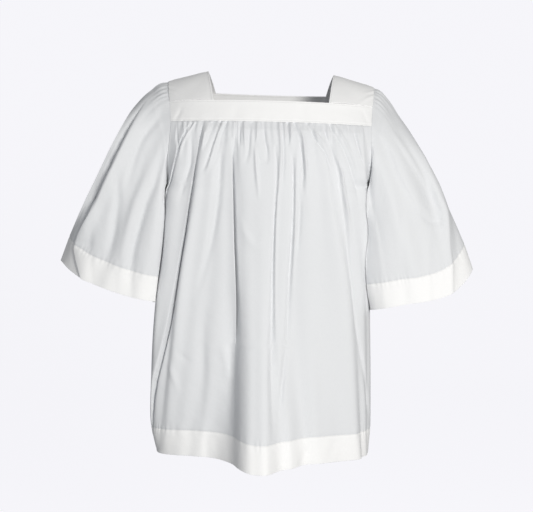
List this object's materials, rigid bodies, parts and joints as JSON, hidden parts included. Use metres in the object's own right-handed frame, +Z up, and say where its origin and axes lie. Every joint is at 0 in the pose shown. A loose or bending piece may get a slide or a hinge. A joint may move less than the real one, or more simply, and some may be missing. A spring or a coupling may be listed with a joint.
{
  "type": "surplice",
  "caption": "Hollow white surplice with a square neck, banded yoke, gathered body and wide open sleeves, in its worn form.",
  "frame": {"origin": "midway between the neck points of the two shoulders, on the shoulder line, where the garment hangs on its wearer", "axes": "+Z up, -Y towards the front of the garment, +X towards the wearer's left"},
  "size_m": [0.82, 0.3566, 0.765],
  "materials": {
    "single_cloth": "one layer of plain-woven white polyester-cotton, matt, a little grey because it is thin",
    "doubled_cloth": "the same cloth doubled, matt and whiter"
  },
  "bodies": {
    "root": {"yoke_front": "doubled_cloth", "yoke_back": "doubled_cloth", "strap_right": "doubled_cloth", "strap_left": "doubled_cloth", "body_front": "single_cloth", "body_back": "single_cloth", "sleeve_right": "single_cloth", "sleeve_left": "single_cloth"}
  },
  "joints": []
}
